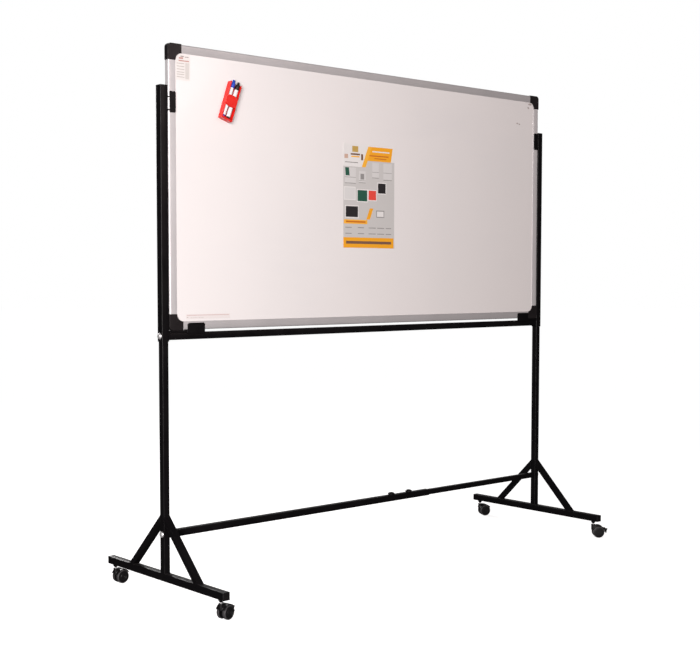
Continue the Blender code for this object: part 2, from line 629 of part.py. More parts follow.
def build_hood(name, material, parent, braked):
    """Hood, stem boss and axle of a twin-wheel caster, in one moulding."""
    hood = make_object(name, side_prism(hood_outline(), WHEEL_OUTER_Y - FENDER_SIDE_GAP), material, parent)
    cut(hood, cylinder(BOSS_RADIUS, BOSS_BOTTOM, BOSS_TOP, 20), "UNION")
    crown = WHEEL_RADIUS + FENDER_RADIUS
    bridge = [(0, BOSS_BOTTOM), (CASTER_TRAIL, WHEEL_RADIUS), (CASTER_TRAIL + BRIDGE_RUN, crown - 0.001),
              (CASTER_TRAIL, crown + GAP), (0, BOSS_TOP - 0.0008)]
    cut(hood, side_prism(bridge, BRIDGE_HALF_WIDTH), "UNION")
    for way in (-1, 1):
        room = cylinder(FENDER_BORE, WEB_HALF_WIDTH, 2 * WHEEL_OUTER_Y)
        cut(hood, room, matrix=along((0, way, 0), (CASTER_TRAIL, 0, WHEEL_RADIUS)))
    cut(hood, cylinder(STEM_RADIUS + GAP, STEM_BOTTOM - GAP, STEM_TOP, SMALL_ROUND))
    axle = cylinder(AXLE_RADIUS, -AXLE_END_Y, AXLE_END_Y, SMALL_ROUND)
    cut(hood, axle, "UNION", along((0, 1, 0), (CASTER_TRAIL, 0, WHEEL_RADIUS)))
    if braked:
        pin_x, pin_z = axle_point(LEVER_DISTANCE, LEVER_ANGLE)
        ear_inner = LEVER_HALF_WIDTH + EAR_GAP
        for way in (-1, 1):
            ear = cylinder(EAR_RADIUS, ear_inner, ear_inner + EAR_THICKNESS, SMALL_ROUND)
            cut(hood, ear, "UNION", along((0, way, 0), (pin_x, 0, pin_z)))
        bore = cylinder(LEVER_PIN + GAP, -WHEEL_OUTER_Y, WHEEL_OUTER_Y, SMALL_ROUND)
        cut(hood, bore, matrix=along((0, 1, 0), (pin_x, 0, pin_z)))
    return hood


def wheel():
    """Wheel with its axis on Z: domed outer face, rounded tread and a blind axle bore."""
    tread_in, face = WHEEL_INNER_Y, WHEEL_OUTER_Y
    bore = AXLE_RADIUS + GAP
    bore_end = AXLE_END_Y + GAP
    shoulder_centre = (WHEEL_RADIUS - WHEEL_SHOULDER, face - WHEEL_DOME - WHEEL_SHOULDER)
    outer = arc(*shoulder_centre, WHEEL_SHOULDER, 0, math.pi / 2, 3)
    profile = [(0, bore_end), (bore, bore_end), (bore, tread_in), (WHEEL_RADIUS - WHEEL_CHAMFER, tread_in),
               (WHEEL_RADIUS, tread_in + WHEEL_CHAMFER)] + outer + [(WHEEL_RADIUS * 0.55, face), (0, face)]
    return turned(profile, ROUND)


def lever_outline():
    """Side view of the brake pedal about its pin: hub, arm down to the shoe and toe tab."""
    hub = arc(0, 0, LEVER_HUB, math.radians(75), math.radians(255), 7)
    return hub + list(LEVER_ARM + LEVER_TAB)


def build_caster(tag, x, y, turn, braked, materials):
    """One swivel caster: fixed stem, turning hood, two wheels and, in front, a brake lever."""
    chrome, plastic, tread = materials
    swivel = make_empty(f"caster_{tag}_swivel", Matrix.Translation((x, y, 0)) @ Matrix.Rotation(turn, 4, "Z"))
    collar_top = FOOT_BOTTOM - GAP
    stem = [(0, STEM_BOTTOM), (STEM_RADIUS, STEM_BOTTOM), (STEM_RADIUS, COLLAR_BOTTOM),
            (COLLAR_RADIUS * COLLAR_NARROW, COLLAR_BOTTOM), (COLLAR_RADIUS, COLLAR_BOTTOM + COLLAR_CONE),
            (COLLAR_RADIUS, collar_top), (STEM_RADIUS, collar_top), (STEM_RADIUS, STEM_TOP), (0, STEM_TOP)]
    make_object(f"caster_{tag}_stem", turned(stem, SMALL_ROUND), chrome, matrix=Matrix.Translation((x, y, 0)))
    build_hood(f"caster_{tag}_hood", plastic, swivel, braked)
    centre = (CASTER_TRAIL, 0, WHEEL_RADIUS)
    for side, way in (("a", -1), ("b", 1)):
        make_object(f"caster_{tag}_wheel_{side}", wheel(), tread, swivel, along((0, way, 0), centre))
    if braked:
        pin_x, pin_z = axle_point(LEVER_DISTANCE, LEVER_ANGLE)
        at_pin = Matrix.Translation((pin_x, 0, pin_z))
        lever = make_object(f"caster_{tag}_brake", side_prism(lever_outline(), LEVER_HALF_WIDTH), plastic,
                            swivel, at_pin)
        cut(lever, side_prism(LEVER_SHOE, SHOE_HALF_WIDTH), "UNION", at_pin)
        pin_end = LEVER_HALF_WIDTH + EAR_THICKNESS
        cut(lever, cylinder(LEVER_PIN, -pin_end, pin_end, 12), "UNION", along((0, 1, 0), (pin_x, 0, pin_z)))


def build_casters(materials):
    for side, sign in (("left", -1), ("right", 1)):
        for end, way in (("front", -1), ("rear", 1)):
            tag = f"{side}_{end}"
            turn = math.radians(CASTER_TURN[tag])
            build_caster(tag, sign * UPRIGHT_X, way * CASTER_Y, turn, end == "front", materials)


# ---------------------------------------------------------------- marker holder
def band_opening(edge, far, bulge):
    """Front opening between the holder's far end and the band's curved edge."""
    half = HOLDER_WIDTH / 2 - HOLDER_WALL
    curve = []
    for i in range(BAND_STEPS + 1):
        x = half - 2 * half * i / BAND_STEPS
        curve.append((x, edge + bulge * math.cos(math.pi / 2 * x / half)))
    return [(-half, far), (half, far)] + curve


def build_marker_holder(material, marker_materials):
    """Open box with a band across its front and two markers standing in it."""
    back_y = FRONT_Y + GROOVE_FRONT
    x, z = HOLDER_CENTRE
    tilt = Matrix.Rotation(HOLDER_TILT, 4, "Y")
    frame_empty = make_empty("marker_holder_frame", Matrix.Translation((x, back_y, z)) @ tilt)
    half_w, half_l = HOLDER_WIDTH / 2, HOLDER_LENGTH / 2
    frame = ((0, 0, 0), (1, 0, 0), (0, 0, 1), (0, -1, 0))
    box = [(-half_w, -half_l), (half_w, -half_l), (half_w, half_l), (-half_w, half_l)]
    holder = make_object("marker_holder", prism([box], frame, 0, HOLDER_DEPTH), material, frame_empty)
    inner, floor = half_w - HOLDER_WALL, HOLDER_FLOOR - half_l
    pocket = [(-inner, floor), (inner, floor), (inner, HOLDER_LENGTH), (-inner, HOLDER_LENGTH)]
    cut(holder, prism([pocket], frame, HOLDER_BACK, HOLDER_DEPTH - HOLDER_WALL))
    front = (HOLDER_DEPTH - 2 * HOLDER_WALL, 2 * HOLDER_DEPTH)
    cut(holder, prism([band_opening(BAND_HIGH, HOLDER_LENGTH, BAND_CURVE)], frame, *front))
    lip = floor + HOLDER_LIP
    cut(holder, prism([band_opening(BAND_LOW, lip, -BAND_CURVE)], frame, *front))
    bottom = floor + GAP
    depth = HOLDER_BACK + MARKER_BACK_GAP + MARKER_CAP_RADIUS
    for (name, marker_material), foot_x in zip(marker_materials.items(), MARKER_X):
        matrix = Matrix.Translation((foot_x, -depth, bottom)) @ Matrix.Rotation(MARKER_LEAN, 4, "Y")
        make_object(name, turned(marker_profile(), 16), marker_material, frame_empty, matrix)


def marker_profile():
    """Whiteboard marker standing on its end plug, with its cap at the top."""
    end = MARKER_LENGTH
    cap_start = end - MARKER_CAP_LENGTH
    barrel = [(0.86, 0.0), (0.86, 0.006), (1.0, 0.008), (1.0, cap_start)]
    cap = [(1.0, cap_start + 0.0006), (0.96, end - 0.010), (0.72, end - 0.008), (0.66, end - 0.001),
           (0.5, end)]
    profile = [(0, 0)] + [(MARKER_RADIUS * share, z) for share, z in barrel]
    return profile + [(MARKER_CAP_RADIUS * share, z) for share, z in cap] + [(0, end)]


# ---------------------------------------------------------------- assembly
def main():
    for obj in list(bpy.data.objects):
        bpy.data.objects.remove(obj)
    steel = make_material("black_powder_coat", (0.018, 0.017, 0.019), 0.42)
    plastic = make_material("black_plastic", (0.022, 0.020, 0.022), 0.5)
    caster_plastic = make_material("caster_plastic", (0.016, 0.015, 0.017), 0.38)
    wheel_plastic = make_material("wheel_plastic", (0.014, 0.013, 0.015), 0.45)
    aluminium = make_material("anodised_aluminium", (0.62, 0.61, 0.62), 0.35, 1.0)
    enamel = make_material("white_enamel", (0.88, 0.87, 0.88), 0.16)
    backing = make_material("galvanised_backing", (0.52, 0.53, 0.54), 0.45, 0.6)
    chrome = make_material("chrome", (0.80, 0.80, 0.82), 0.12, 1.0)
    red = make_material("red_plastic", (0.78, 0.030, 0.022), 0.3)
    blue_marker = make_material("marker_blue", (0.05, 0.09, 0.45), 0.3)
    black_marker = make_material("marker_black", (0.03, 0.03, 0.035), 0.3)

    build_rails(aluminium)
    build_corner_caps(plastic)
    build_panel(enamel, backing)
    build_uprights(steel, plastic)
    build_upper_crossbar(steel)
    build_side_clips(steel)
    build_bottom_clips(steel)
    build_bolts(chrome)
    build_posts(steel)
    build_lower_crossbar(steel)
    build_feet(steel, plastic)
    build_struts(steel)
    build_knobs(plastic)
    build_casters((chrome, caster_plastic, wheel_plastic))
    build_marker_holder(red, {"marker_blue": blue_marker, "marker_black": black_marker})


main()
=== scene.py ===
"""Looks for the rolling whiteboard: materials, detailed pieces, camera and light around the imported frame."""
import json
import math
import random

import bmesh
import bpy
from mathutils import Matrix, Vector, noise


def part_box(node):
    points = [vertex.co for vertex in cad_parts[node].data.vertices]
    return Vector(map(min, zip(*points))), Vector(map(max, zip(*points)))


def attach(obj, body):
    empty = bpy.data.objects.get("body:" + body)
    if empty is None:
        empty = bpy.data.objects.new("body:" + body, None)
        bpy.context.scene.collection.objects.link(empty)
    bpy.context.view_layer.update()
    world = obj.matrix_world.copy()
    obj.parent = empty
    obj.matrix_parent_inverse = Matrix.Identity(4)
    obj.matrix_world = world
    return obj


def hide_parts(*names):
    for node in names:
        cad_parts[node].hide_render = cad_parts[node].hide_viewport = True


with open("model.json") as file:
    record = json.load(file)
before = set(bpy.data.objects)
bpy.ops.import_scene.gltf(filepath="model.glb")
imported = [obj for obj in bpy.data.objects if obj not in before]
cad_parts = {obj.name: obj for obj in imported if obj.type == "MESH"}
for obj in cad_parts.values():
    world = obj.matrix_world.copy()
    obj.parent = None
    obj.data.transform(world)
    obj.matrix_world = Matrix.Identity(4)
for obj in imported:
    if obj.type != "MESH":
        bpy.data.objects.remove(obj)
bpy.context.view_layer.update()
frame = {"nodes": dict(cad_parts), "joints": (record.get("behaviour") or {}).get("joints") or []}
NODES = frame["nodes"]
TAU = 2 * math.pi

CASTERS = ("left_front", "left_rear", "right_front", "right_rear")
STEEL_NODES = ("post_", "upright_", "foot_left", "foot_right", "strut_", "lower_crossbar", "upper_crossbar")
SHEET_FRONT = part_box("writing_surface")[0].y     # front face of the writing sheet
SMOOTH_ANGLE = math.radians(35)

# Paper and labels on the writing sheet
PAPER_LIFT = 0.0002                              # from the sheet's front to the paper's back
LEAFLET_LEFT = -0.1815
LEAFLET_BOTTOM = 1.2690
LEAFLET_WIDTH = 0.278
LEAFLET_HEIGHT = 0.408
LABEL_PLACE = (-0.9665, 1.8430)                  # lower left corner, as x and z
LABEL_SIZE = (0.060, 0.090)
STRIP_PLACE = (-0.9310, 1.0030)
STRIP_SIZE = (0.195, 0.018)
FAINT_INK = (0.50, 0.46, 0.43)
SMUDGE_POINTS = 22

# Casters, in a frame with the swivel axis on Z and the floor at z = 0
WHEEL_RADIUS = 0.025
WHEEL_INNER = 0.0080                             # from the caster's middle plane to the wheel's faces
WHEEL_OUTER = 0.0203
WHEEL_TRAIL = 0.0215
COLLAR_BOTTOM = 0.0628
COLLAR_TOP = 0.0727

# Fittings
BOLT_SEAT = 0.0075                               # from a bolt's outer end to the underside of its head
KNOB_LOBES = 6
KNOB_LOBE_DEPTH = 0.035                          # as a share of the radius
KNOB_ROUND_RADIUS = 0.0085                       # within this radius the knob is round

# Weld beads
WELD_STEP = 0.0022
WELD_RADIUS = 0.0010
BAR_WELD_RADIUS = 0.0004
WELD_SIDES = 8
STRUT_SIZE = 0.020

# Camera
CAMERA_LOCATION = (-3.4468, -3.6754, 1.1563)
CAMERA_TURN = (math.radians(90 - 3.387), 0.0, math.radians(-41.026))
CAMERA_LENS = 63.82
CAMERA_SHIFT = (0.0312, 0.0379)

# Lamps: name, place, target, size, power and colour
LAMPS = (("key", (-4.2, -3.6, 1.7), (-0.6, 0.0, 1.2), 3.0, 375.0, (1.0, 0.955, 0.945)),
         ("fill_front", (1.5, -5.0, 3.5), (0.5, 0.0, 0.9), 3.0, 52.0, (1.0, 0.82, 0.78)),
         ("rim_back", (4.2, 4.8, 1.6), (0.0, 0.0, 0.6), 4.0, 10.0, (1.0, 1.0, 1.0)),
         ("fill_back", (0.6, 6.0, 3.4), (0.0, 0.0, 1.3), 3.0, 260.0, (1.0, 0.985, 0.98)))
WORLD_LIGHT = 0.035
FLOOR_RADIUS = 40.0
FLOOR_FADE = (1.5, 5.0)                          # the floor brightens to white between these distances


# ---------------------------------------------------------------- materials
class Paint:
    """A Principled material and short calls for the nodes that feed it."""

    def __init__(self, name, colour, roughness, metallic=0.0, specular=0.5, coat=0.0):
        self.material = bpy.data.materials.new(name)
        self.material.use_nodes = True
        self.tree = self.material.node_tree
        self.shader = self.tree.nodes["Principled BSDF"]
        self.set("Base Color", (*colour, 1.0))
        self.set("Roughness", roughness)
        self.set("Metallic", metallic)
        self.set("Specular IOR Level", specular)
        self.set("Coat Weight", coat)
        self.coords = self.add("ShaderNodeTexCoord").outputs["Object"]

    def set(self, socket, value):
        self.wire(value, self.shader.inputs[socket])

    def wire(self, value, socket):
        if isinstance(value, bpy.types.NodeSocket):
            self.tree.links.new(value, socket)
        else:
            socket.default_value = value

    def add(self, kind, inputs=None, **settings):
        node = self.tree.nodes.new(kind)
        for key, value in settings.items():
            setattr(node, key, value)
        for key, value in (inputs or {}).items():
            self.wire(value, node.inputs[key])
        return node

    def stretched(self, scale):
        return self.add("ShaderNodeMapping", {"Vector": self.coords, "Scale": scale}).outputs[0]

    def noise(self, scale, detail=3.0, rough=0.5, coords=None):
        inputs = {"Vector": coords or self.coords, "Scale": scale, "Detail": detail, "Roughness": rough}
        return self.add("ShaderNodeTexNoise", inputs).outputs["Fac"]

    def spread(self, value, low, high, start=0.0, end=1.0):
        """Maps low..high of a value to start..end, clamped."""
        inputs = {"Value": value, "From Min": low, "From Max": high, "To Min": start, "To Max": end}
        return self.add("ShaderNodeMapRange", inputs).outputs["Result"]

    def math(self, operation, a, b=0.0):
        return self.add("ShaderNodeMath", {0: a, 1: b}, operation=operation).outputs[0]

    def mix(self, factor, a, b):
        node = self.add("ShaderNodeMix", data_type="RGBA")
        for index, value in ((0, factor), (6, a), (7, b)):
            if isinstance(value, tuple):
                value = (*value, 1.0)
            self.wire(value, node.inputs[index])
        return node.outputs[2]

    def bump(self, height, strength, distance, base=None):
        inputs = {"Height": height, "Strength": strength, "Distance": distance}
        if base is not None:
            inputs["Normal"] = base
        return self.add("ShaderNodeBump", inputs).outputs["Normal"]

    def edges(self, radius):
        """About 1 on sharp edges and 0 on flat faces."""
        round_normal = self.add("ShaderNodeBevel", {"Radius": radius}, samples=4).outputs["Normal"]
        flat_normal = self.add("ShaderNodeNewGeometry").outputs["Normal"]
        dot = self.add("ShaderNodeVectorMath", {0: round_normal, 1: flat_normal}, operation="DOT_PRODUCT")
        return self.spread(dot.outputs["Value"], 0.985, 0.86)

    def facing_up(self):
        normal = self.add("ShaderNodeNewGeometry").outputs["Normal"]
        return self.add("ShaderNodeSeparateXYZ", {0: normal}).outputs["Z"]


def powder_coat():
    """Satin black powder coat with orange peel; low upward faces lighter, partly dusty grime and partly a
    painted sheen; rubbed edges.
    """
    paint = Paint("black_powder_coat", (0.005, 0.0045, 0.0055), 0.36, specular=0.22)
    patches = paint.noise(7.0, 4.0, 0.6)
    colour = paint.mix(paint.spread(patches, 0.35, 0.7), (0.0030, 0.0026, 0.0032), (0.0058, 0.0050, 0.0056))
    height = paint.add("ShaderNodeSeparateXYZ", {0: paint.coords}).outputs["Z"]
    # Low upward faces painted lighter grey: partly dusty grime, partly a painted sheen standing in for the
    # backdrop's reflection on the top faces.
    dust_and_sheen = paint.math("MULTIPLY", paint.spread(paint.facing_up(), 0.7, 1.0),
                      paint.spread(paint.noise(38.0, 5.0, 0.65), 0.35, 0.75))
    dust_and_sheen = paint.math("MULTIPLY", dust_and_sheen, paint.spread(height, 0.12, 0.22, 0.6, 0.12))
    colour = paint.mix(dust_and_sheen, colour, (0.075, 0.068, 0.070))
    rubbed = paint.spread(paint.noise(24.0, 5.0, 0.7), 0.42, 0.72, 0.0, 0.6)
    wear = paint.math("MULTIPLY", paint.edges(0.0009), rubbed)
    colour = paint.mix(wear, colour, (0.060, 0.056, 0.059))
    paint.set("Base Color", colour)
    paint.set("Roughness", paint.spread(paint.noise(16.0, 4.0, 0.6), 0.3, 0.7, 0.27, 0.42))
    peel = paint.bump(paint.noise(420.0, 2.0), 0.22, 0.0004)
    paint.set("Normal", paint.bump(paint.noise(1500.0, 2.0), 0.16, 0.0002, peel))
    return paint.material


def moulded_plastic(name, dark, light, roughness, grain=2200.0, specular=0.4):
    """Moulded plastic with a fine grain, faint flow marks and pale scuffs on its edges."""
    paint = Paint(name, dark, roughness, specular=specular)
    flow = paint.noise(9.0, 3.0, 0.55, paint.stretched((1.0, 1.0, 3.0)))
    colour = paint.mix(paint.spread(flow, 0.3, 0.7), dark, light)
    rubbed = paint.spread(paint.noise(60.0, 5.0, 0.7), 0.45, 0.75, 0.0, 0.5)
    scuff = paint.math("MULTIPLY", paint.edges(0.0007), rubbed)
    colour = paint.mix(scuff, colour, tuple(min(1.0, 0.05 + 1.8 * value) for value in light))
    paint.set("Base Color", colour)
    sheen = paint.noise(45.0, 4.0, 0.6)
    paint.set("Roughness", paint.spread(sheen, 0.3, 0.7, roughness - 0.05, roughness + 0.08))
    paint.set("Normal", paint.bump(paint.noise(grain, 2.0), 0.18, 0.0002))
    return paint.material


def tinted(tone):
    """Anodised grey with a trace of pink."""
    return (tone, tone * 0.97, tone * 0.985)


def brushed_aluminium(name, along, tone):
    """Satin anodised extrusion, drawn along one axis; its tone is a painted light level set per rail
    direction.
    """
    paint = Paint(name, (tone, tone, tone), 0.44, metallic=0.42)
    stretch = tuple(0.012 if axis == along else 1.0 for axis in "XYZ")
    lines = paint.noise(1100.0, 3.0, 0.6, paint.stretched(stretch))
    bands = paint.noise(90.0, 2.0, 0.5, paint.stretched(stretch))
    clouds = paint.noise(5.0, 4.0, 0.6)
    colour = paint.mix(paint.spread(clouds, 0.3, 0.7), tinted(0.95 * tone), tinted(1.07 * tone))
    colour = paint.mix(paint.spread(lines, 0.3, 0.7, 0.0, 0.35), colour, tinted(0.82 * tone))
    rubbed = paint.spread(paint.noise(30.0, 4.0), 0.45, 0.7, 0.0, 0.5)
    wear = paint.math("MULTIPLY", paint.edges(0.0006), rubbed)
    paint.set("Base Color", paint.mix(wear, colour, tinted(1.15 * tone)))
    rough = paint.math("ADD", paint.spread(lines, 0.3, 0.7, 0.38, 0.48),
                       paint.spread(bands, 0.3, 0.7, 0.0, 0.07))
    paint.set("Roughness", rough)
    paint.set("Normal", paint.bump(lines, 0.10, 0.0001))
    return paint.material


def white_enamel():
    """Glossy white lacquer on steel: faint waviness, wiped arcs and ghost marks of dry ink."""
    paint = Paint("white_enamel", (0.86, 0.83, 0.825), 0.16, specular=0.5, coat=0.25)
    paint.set("Coat Roughness", 0.06)
    tone = paint.noise(1.6, 3.0, 0.5)
    colour = paint.mix(paint.spread(tone, 0.3, 0.7), (0.875, 0.838, 0.832), (0.845, 0.815, 0.812))
    wiped = paint.noise(3.0, 6.0, 0.62, paint.stretched((0.35, 1.0, 1.6)))
    ghost = paint.math("MULTIPLY", paint.spread(wiped, 0.52, 0.78, 0.0, 0.10), paint.spread(tone, 0.35, 0.6))
    paint.set("Base Color", paint.mix(ghost, colour, (0.60, 0.61, 0.66)))
    smear = paint.noise(5.0, 7.0, 0.68, paint.stretched((0.5, 1.0, 1.4)))
    paint.set("Roughness", paint.spread(smear, 0.3, 0.75, 0.12, 0.24))
    wave = paint.bump(paint.noise(9.0, 2.0), 0.05, 0.002)
    paint.set("Normal", paint.bump(paint.noise(700.0, 1.0), 0.02, 0.0002, wave))
    return paint.material


def galvanised():
    """Zinc-coated backing sheet: crystal spangle and a few streaks."""
    paint = Paint("galvanised_backing", (0.50, 0.51, 0.52), 0.4, metallic=0.40)
    cells = paint.add("ShaderNodeTexVoronoi", {"Vector": paint.coords, "Scale": 62.0, "Randomness": 1.0})
    shade = paint.add("ShaderNodeSeparateColor", {0: cells.outputs["Color"]}).outputs[0]
    colour = paint.mix(shade, (0.44, 0.455, 0.47), (0.58, 0.59, 0.60))
    streak = paint.noise(4.0, 5.0, 0.6, paint.stretched((1.0, 1.0, 0.15)))
    colour = paint.mix(paint.spread(streak, 0.45, 0.75, 0.0, 0.35), colour, (0.36, 0.365, 0.375))
    paint.set("Base Color", colour)
    paint.set("Roughness", paint.math("ADD", paint.spread(shade, 0.0, 1.0, 0.30, 0.46),
                                      paint.spread(streak, 0.4, 0.8, 0.0, 0.12)))
    paint.set("Normal", paint.bump(cells.outputs["Distance"], 0.08, 0.0003))
    return paint.material


def bright_metal(name, colour, roughness, metallic=1.0):
    """Plated metal with fine scratches and a few dull spots."""
    paint = Paint(name, colour, roughness, metallic=metallic)
    spots = paint.noise(160.0, 4.0, 0.6)
    paint.set("Base Color", paint.mix(paint.spread(spots, 0.55, 0.8, 0.0, 0.5), colour,
                                      tuple(value * 0.55 for value in colour)))
    scratches = paint.noise(420.0, 4.0, 0.65)
    paint.set("Roughness", paint.spread(scratches, 0.3, 0.75, roughness, roughness + 0.16))
    paint.set("Normal", paint.bump(paint.noise(900.0, 2.0), 0.05, 0.0001))
    return paint.material


# ---------------------------------------------------------------- mesh helpers
def smooth_group():
    """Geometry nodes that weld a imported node's loose faces and shade it smooth below an angle."""
    group = bpy.data.node_groups.new("smooth_by_angle", "GeometryNodeTree")
    group.interface.new_socket("Geometry", in_out="INPUT", socket_type="NodeSocketGeometry")
    group.interface.new_socket("Geometry", in_out="OUTPUT", socket_type="NodeSocketGeometry")
    new = group.nodes.new
    drop = new("GeometryNodeRemoveAttribute")
    drop.inputs["Name"].default_value = "custom_normal"
    merge = new("GeometryNodeMergeByDistance")
    merge.inputs["Distance"].default_value = 1e-5
    faces = new("GeometryNodeSetShadeSmooth")
    edges = new("GeometryNodeSetShadeSmooth")
    edges.domain = "EDGE"
    angle = new("GeometryNodeInputMeshEdgeAngle")
    compare = new("FunctionNodeCompare")
    compare.operation = "LESS_THAN"
    compare.inputs["B"].default_value = SMOOTH_ANGLE
    group.links.new(angle.outputs["Unsigned Angle"], compare.inputs["A"])
    group.links.new(compare.outputs["Result"], edges.inputs["Shade Smooth"])
    chain = (new("NodeGroupInput"), drop, merge, faces, edges, new("NodeGroupOutput"))
    for start, end in zip(chain, chain[1:]):
        group.links.new(start.outputs["Geometry"], end.inputs["Geometry"])
    return group


def finish_node(name, material, group, bevel=0.0):
    """A CAD node keeps its shape and gets smooth shading, soft edges and its material."""
    obj = NODES[name]
    weld = obj.modifiers.new("smooth", "NODES")
    weld.node_group = group
    if bevel:
        soft = obj.modifiers.new("soft_edges", "BEVEL")
        soft.width = bevel
        soft.segments = 2
        soft.limit_method = "ANGLE"
        soft.angle_limit = math.radians(50)
        soft.harden_normals = True
    obj.data.materials.clear()
    obj.data.materials.append(material)


def piece(name, mesh, materials, body, matrix=None, stands_for=()):
    """Puts a mesh in the scene as a piece that rides on a body."""
    obj = bpy.data.objects.new(name, mesh)
    bpy.context.scene.collection.objects.link(obj)
    if not mesh.materials:
        for material in materials:
            mesh.materials.append(material)
    if matrix is not None:
        obj.matrix_world = matrix
    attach(obj, body)
    if stands_for:
        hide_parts(*stands_for)
    return obj


def to_mesh(name, bm, sharp=SMOOTH_ANGLE):
    bmesh.ops.recalc_face_normals(bm, faces=bm.faces)
    mesh = bpy.data.meshes.new(name)
    bm.to_mesh(mesh)
    bm.free()
    mesh.shade_smooth()
    mesh.set_sharp_from_angle(angle=sharp)
    return mesh


def turned(profile, segments=64, wobble=None):
    """Turns (radius, z, material index) rows about Z. Rows with radius 0 close the ends."""
    bm = bmesh.new()
    rings = []
    for radius, z, _ in profile:
        if radius == 0:
            rings.append([bm.verts.new((0, 0, z))])
            continue
        ring = []
        for i in range(segments):
            angle = TAU * i / segments
            r = radius * (wobble(angle, radius, z) if wobble else 1.0)
            ring.append(bm.verts.new((r * math.cos(angle), r * math.sin(angle), z)))
        rings.append(ring)
    for row, (low, high) in enumerate(zip(rings, rings[1:])):
        for i in range(segments):
            j = (i + 1) % segments
            corners = [low[i % len(low)], low[j % len(low)], high[j % len(high)], high[i % len(high)]]
            face = bm.faces.new(list(dict.fromkeys(corners)))
            face.material_index = profile[row + 1][2]
    return bm


def curve_points(cx, cy, radius, start, end, steps):
    """Points on an arc, with angles in degrees."""
    points = []
    for i in range(steps + 1):
        angle = math.radians(start + (end - start) * i / steps)
        points.append((cx + radius * math.cos(angle), cy + radius * math.sin(angle)))
    return points


def along(axis, centre):
    """Matrix that turns +Z to an axis and moves the origin to a centre."""
    turn = Vector((0, 0, 1)).rotation_difference(Vector(axis)).to_matrix().to_4x4()
    return Matrix.Translation(centre) @ turn


def remeshed(name, node, to_local, voxel, rounds, group):
    """A CAD node as one moulding: remeshed in its own frame, with its inner corners blended."""
    copy = bpy.data.objects.new(name + "_source", NODES[node].data.copy())
    bpy.context.scene.collection.objects.link(copy)
    copy.data.transform(to_local)
    weld = copy.modifiers.new("weld", "NODES")
    weld.node_group = group
    grid = copy.modifiers.new("grid", "REMESH")
    grid.mode = "VOXEL"
    grid.voxel_size = voxel
    relax = copy.modifiers.new("relax", "SMOOTH")
    relax.factor = 0.5
    relax.iterations = rounds
    lighter = copy.modifiers.new("lighter", "DECIMATE")
    lighter.ratio = 0.35
    depsgraph = bpy.context.evaluated_depsgraph_get()
    mesh = bpy.data.meshes.new_from_object(copy.evaluated_get(depsgraph))
    mesh.name = name
    mesh.materials.clear()
    mesh.shade_smooth()
    bpy.data.objects.remove(copy)
    return mesh


# ---------------------------------------------------------------- casters
def joint(name):
    return next(item for item in frame["joints"] if item["name"] == name)


def caster_matrix(tag):
    """Frame of a caster: its swivel axis on Z and its wheels trailing towards +X."""
    swivel = Vector(joint(f"caster_{tag}_swivel")["pos_m"])
    axle = joint(f"caster_{tag}_wheel_a_roll")["axis"]
    turn = math.atan2(-axle[0], axle[1])
    return Matrix.Translation((swivel.x, swivel.y, 0)) @ Matrix.Rotation(turn, 4, "Z")


def wheel_mesh():
    """Twin-wheel half with its axis on Z: ribbed hub cover, rim step and crowned soft tread."""
    body, tread = 0, 1
    radius, inner, outer = WHEEL_RADIUS, WHEEL_INNER, WHEEL_OUTER
    profile = [(0, inner + 0.0030, body), (0.0032, inner + 0.0030, body), (0.0060, inner + 0.0024, body),
               (0.0062, inner, body), (0.0085, inner, body), (0.0087, inner + 0.0050, body),
               (0.0200, inner + 0.0050, body), (0.0202, inner, body), (0.0232, inner, body)]
    for r, z in curve_points(0.0232, inner + 0.0018, 0.0018, -90, 0, 6):
        profile.append((r, z, tread))
    for r, z in curve_points(0.0220, outer - 0.0038, 0.0030, 0, 80, 8):
        profile.append((r, z, tread))
    profile += [(0.0222, outer - 0.0006, tread), (0.0216, outer - 0.0007, tread)]
    for r, rise in ((0.0213, -0.0012), (0.0208, -0.0012), (0.0204, -0.0004), (0.0185, 0.0), (0.0125, 0.0001),
                    (0.0119, -0.0005), (0.0113, -0.0005), (0.0107, 0.0001), (0.0045, 0.0001),
                    (0.0040, -0.0004), (0, -0.0006)):
        profile.append((r, outer + rise, body))
    profile = [(min(r, radius), z, index) for r, z, index in profile]
    return to_mesh("caster_wheel", turned(profile, 72), math.radians(30))


def collar_mesh():
    """Black tapered collar between the foot and the stem, about the stem's axis."""
    bottom, top = COLLAR_BOTTOM, COLLAR_TOP
    profile = [(0.0042, top, 0), (0.0042, bottom, 0), (0.0054, bottom, 0), (0.0059, bottom + 0.0005, 0),
               (0.0092, bottom + 0.0056, 0), (0.0095, bottom + 0.0064, 0), (0.0095, top - 0.0004, 0),
               (0.0091, top, 0), (0.0042, top, 0)]
    return to_mesh("caster_collar", turned(profile, 48))


def pin_mesh():
    """Bright stem with a rolled groove where it enters the collar."""
    profile = [(0, 0.0425, 0), (0.0036, 0.0425, 0), (0.0040, 0.0429, 0), (0.0040, 0.0602, 0),
               (0.0036, 0.0606, 0), (0.0036, 0.0612, 0), (0.0040, 0.0616, 0), (0.0040, 0.0850, 0),
               (0.0034, 0.0858, 0), (0, 0.0858, 0)]
    return to_mesh("caster_pin", turned(profile, 40))


